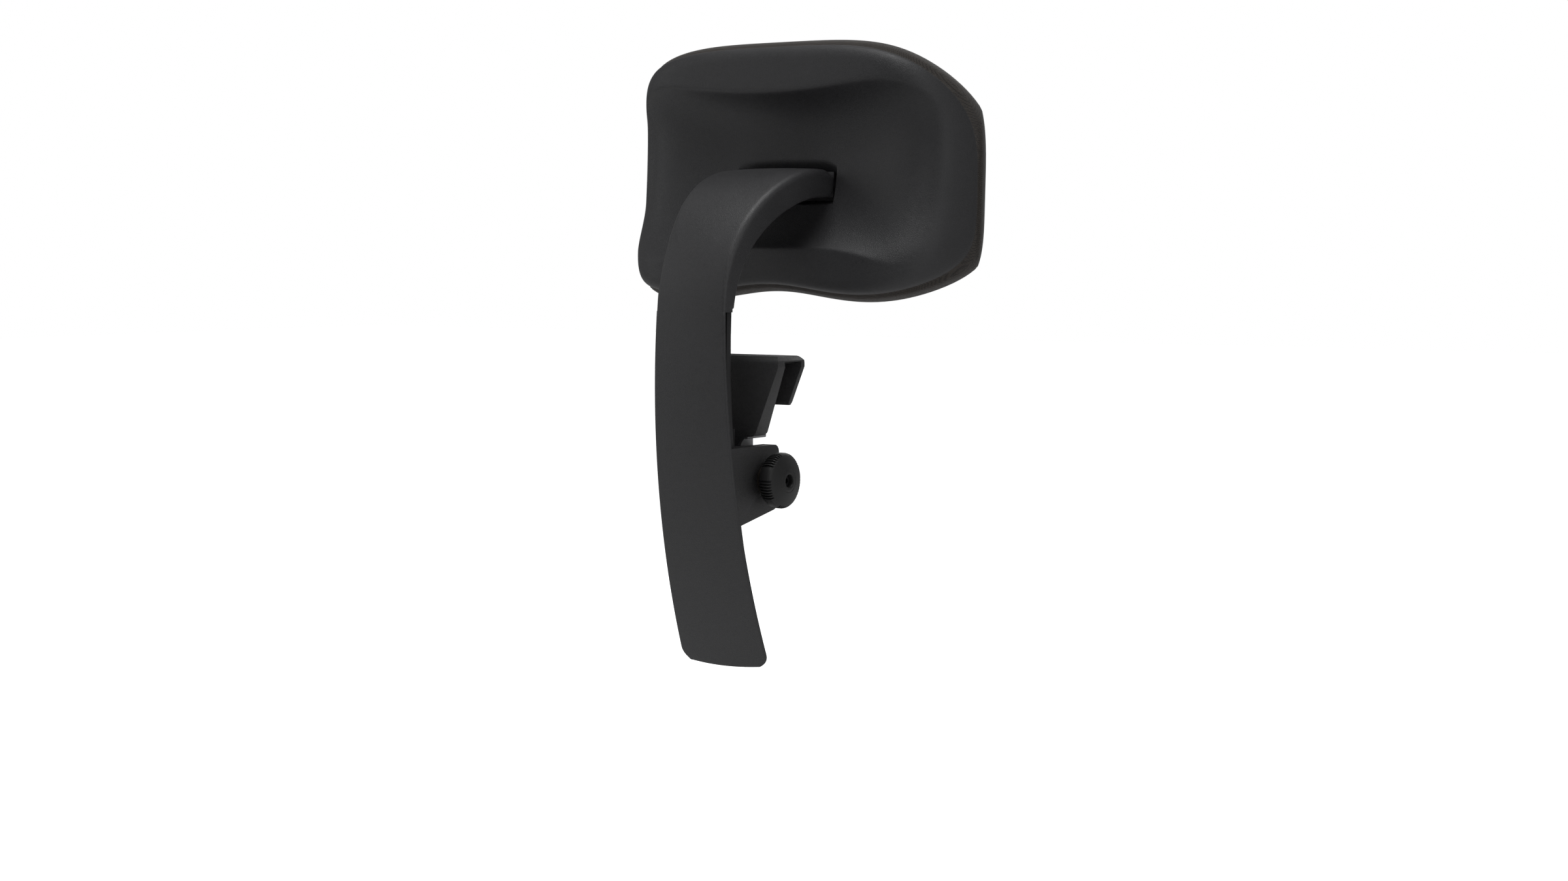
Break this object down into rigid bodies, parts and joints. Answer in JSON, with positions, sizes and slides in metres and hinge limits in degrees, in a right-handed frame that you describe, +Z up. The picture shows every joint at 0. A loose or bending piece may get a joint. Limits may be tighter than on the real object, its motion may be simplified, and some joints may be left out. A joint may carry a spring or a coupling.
{
  "type": "chair headrest attachment",
  "caption": "Clamp-on chair headrest: padded wrap-round rest on a curved sliding arm, with a rail hook and a knob-driven clamp.",
  "frame": {"origin": "middle of the hook's seat, where it lies on the chair's top rail", "axes": "+Z up, +X along the rail to the sitter's left hand, -Y towards the sitter, +Y behind the chair"},
  "size_m": [0.2734, 0.1618, 0.4175],
  "materials": {
    "bracket_plastic": "fine moulded grain, satin",
    "liner_rubber": "matt",
    "screw_steel": "zinc plated",
    "brass": "machined",
    "acetal": "natural, smooth",
    "spring_steel": "blued",
    "knob_plastic": "smooth, satin",
    "jaw_metal": "cast, matt",
    "arm_plastic": "fine leather grain, satin",
    "rail_plastic": "smooth, satin",
    "shell_plastic": "fine leather grain, satin",
    "hinge_steel": "phosphated",
    "foam": "open cell",
    "cover_fabric": "fine knitted mesh"
  },
  "bodies": {
    "bracket": {"hook": "bracket_plastic", "seat_liner": "liner_rubber", "rear_liner": "liner_rubber", "clamp_body": "bracket_plastic", "body_cover": "bracket_plastic", "body_cover_screws": "screw_steel", "hook_screws": "screw_steel", "screw_bushes": "brass", "screw_end_cap": "bracket_plastic", "side_glides": "acetal", "brake_shoe": "liner_rubber", "brake_spring": "spring_steel"},
    "clamp_knob": {"clamp_screw": "screw_steel", "retaining_ring": "spring_steel", "knob": "knob_plastic", "knob_washer": "screw_steel", "knob_screw": "screw_steel"},
    "wedge": {"wedge_nut": "brass"},
    "jaw": {"clamp_jaw": "jaw_metal", "jaw_pad": "liner_rubber"},
    "arm": {"arm": "arm_plastic", "arm_rail": "rail_plastic", "rail_screws": "screw_steel", "lower_stop": "rail_plastic", "upper_stop": "rail_plastic", "stop_screws": "screw_steel", "pivot_bushes": "acetal", "axle_plugs": "arm_plastic"},
    "headrest": {"rear_shell": "shell_plastic", "hinge_bracket": "hinge_steel", "hinge_screws": "screw_steel", "pivot_axle": "hinge_steel", "friction_washers": "acetal", "tray": "rail_plastic", "tray_screws": "screw_steel", "edge_trim": "liner_rubber", "foam_cushion": "foam", "fabric_cover": "cover_fabric"}
  },
  "joints": [
    {"name": "knob_turn", "type": "hinge", "parent": "bracket", "child": "clamp_knob", "pos_m": [0, 0.0035, -0.077], "axis": [1, 0, 0], "range_deg": [-810, 0]},
    {"name": "wedge_slide", "type": "slide", "parent": "bracket", "child": "wedge", "axis": [1, 0, 0], "range_m": [-0.00675, 0]},
    {"name": "jaw_slide", "type": "slide", "parent": "bracket", "child": "jaw", "axis": [0, 0, 1], "range_m": [-0.00473, 0]},
    {"name": "arm_height", "type": "hinge", "parent": "bracket", "child": "arm", "pos_m": [0, -0.515, 0.005], "axis": [1, 0, 0], "range_deg": [-4, 4.2]},
    {"name": "headrest_tilt", "type": "hinge", "parent": "arm", "child": "headrest", "pos_m": [0, -0.0552, 0.1199], "axis": [1, 0, 0], "range_deg": [-15, 15]}
  ],
  "couplings": [
    {"joint": "knob_turn", "follows": "wedge_slide", "rad_per_m": 2094.4},
    {"joint": "jaw_slide", "follows": "wedge_slide", "ratio": 0.7}
  ]
}
